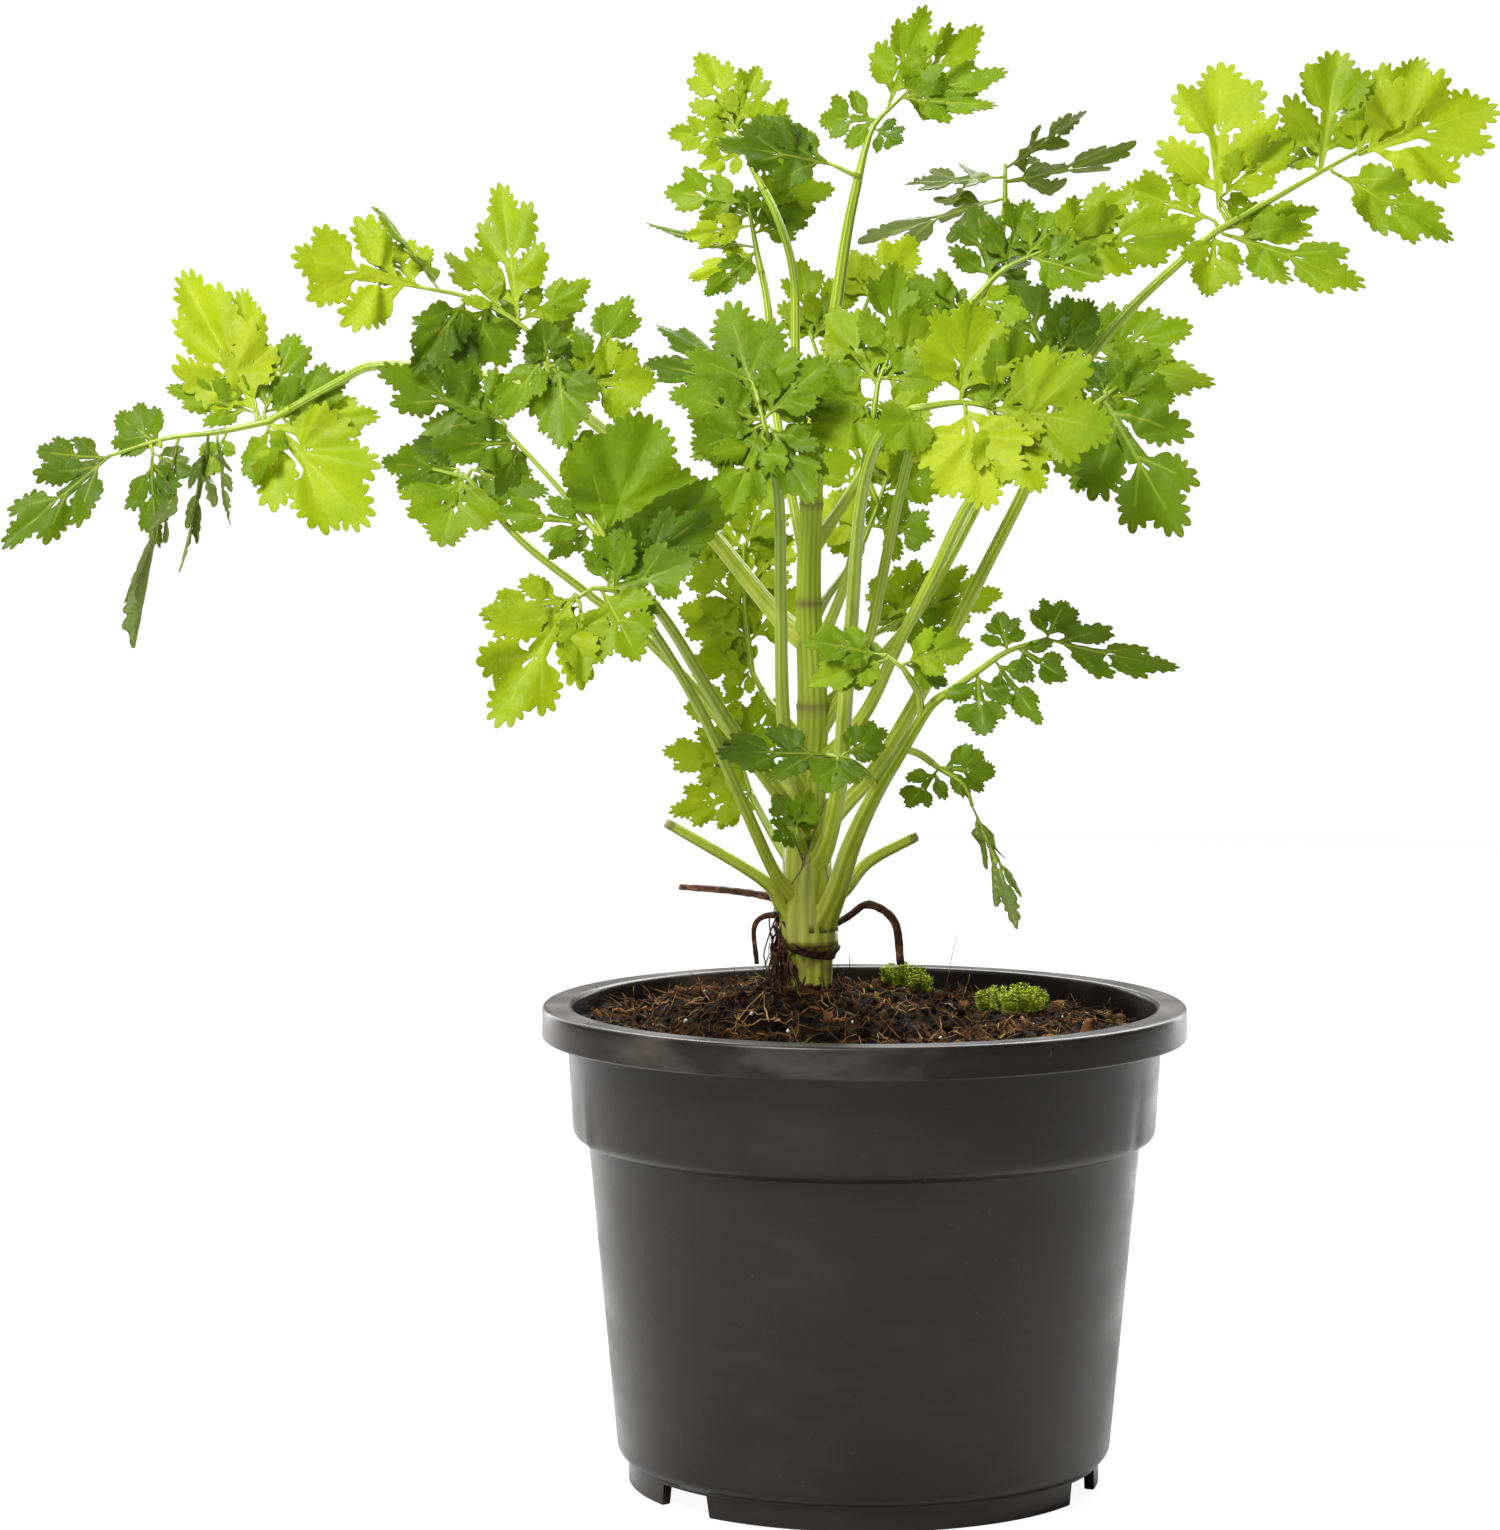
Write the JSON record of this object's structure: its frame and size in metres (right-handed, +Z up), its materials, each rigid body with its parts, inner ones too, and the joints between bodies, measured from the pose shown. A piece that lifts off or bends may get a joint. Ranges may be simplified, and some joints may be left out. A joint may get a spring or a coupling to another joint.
{
  "type": "potted coriander",
  "caption": "Bushy young coriander plant with lobed leaves on long stalks, rooted in soil in a round stepped nursery pot.",
  "frame": {"origin": "on the surface the pot stands on, under the middle of the plant's whole spread; the pot's axis stands at x = 28.5 mm, y = 0", "axes": "+Z up, -Y the front, +X to the right seen from the front; the plant spreads most along X"},
  "size_m": [0.3527, 0.1521, 0.3426],
  "materials": {
    "pot_plastic": "satin",
    "potting_soil": "matte",
    "moss": "matte",
    "stem_skin": "satin",
    "stalk_skin": "satin",
    "leaf_green": "satin",
    "dry_stalk": "matte"
  },
  "bodies": {
    "root": {"centre_blade": "leaf_green", "centre_stalk": "stalk_skin", "cut_stalk_left": "stalk_skin", "cut_stalk_right": "stalk_skin", "drooping_blade": "leaf_green", "drooping_stalk": "stalk_skin", "dry_stalk_arched": "dry_stalk", "dry_stalk_hanging": "dry_stalk", "dry_stalk_left": "dry_stalk", "far_left_blade": "leaf_green", "far_left_stalk": "stalk_skin", "feathery_back_blade": "leaf_green", "feathery_back_stalk": "stalk_skin", "feathery_top_blade": "leaf_green", "feathery_top_stalk": "stalk_skin", "front_right_blade": "leaf_green", "front_right_stalk": "stalk_skin", "front_stalk_blade": "leaf_green", "front_stalk_stalk": "stalk_skin", "grey_top_right_blade": "leaf_green", "grey_top_right_stalk": "stalk_skin", "inner_back_blade": "leaf_green", "inner_back_stalk": "stalk_skin", "inner_right_blade": "leaf_green", "inner_right_stalk": "stalk_skin", "left_back_blade": "leaf_green", "left_back_stalk": "stalk_skin", "low_left_blade": "leaf_green", "low_left_stalk": "stalk_skin", "low_right_blade": "leaf_green", "low_right_stalk": "stalk_skin", "main_stem": "stem_skin", "mid_spray_blade": "leaf_green", "mid_spray_stalk": "stalk_skin", "moss_cushion_left": "moss", "moss_cushion_right": "moss", "pot": "pot_plastic", "potting_soil": "potting_soil", "right_back_blade": "leaf_green", "right_back_stalk": "stalk_skin", "right_inner_blade": "leaf_green", "right_inner_stalk": "stalk_skin", "right_long_blade": "leaf_green", "right_long_stalk": "stalk_skin", "right_mid_blade": "leaf_green", "right_mid_stalk": "stalk_skin", "stem_front_blade": "leaf_green", "stem_front_stalk": "stalk_skin", "stem_tuft_blade": "leaf_green", "stem_tuft_stalk": "stalk_skin", "top_blade": "leaf_green", "top_stalk": "stalk_skin", "upper_left_blade": "leaf_green", "upper_left_stalk": "stalk_skin", "young_left_high_blade": "leaf_green", "young_left_high_stalk": "stalk_skin", "young_left_low_blade": "leaf_green", "young_left_low_stalk": "stalk_skin"}
  },
  "joints": []
}
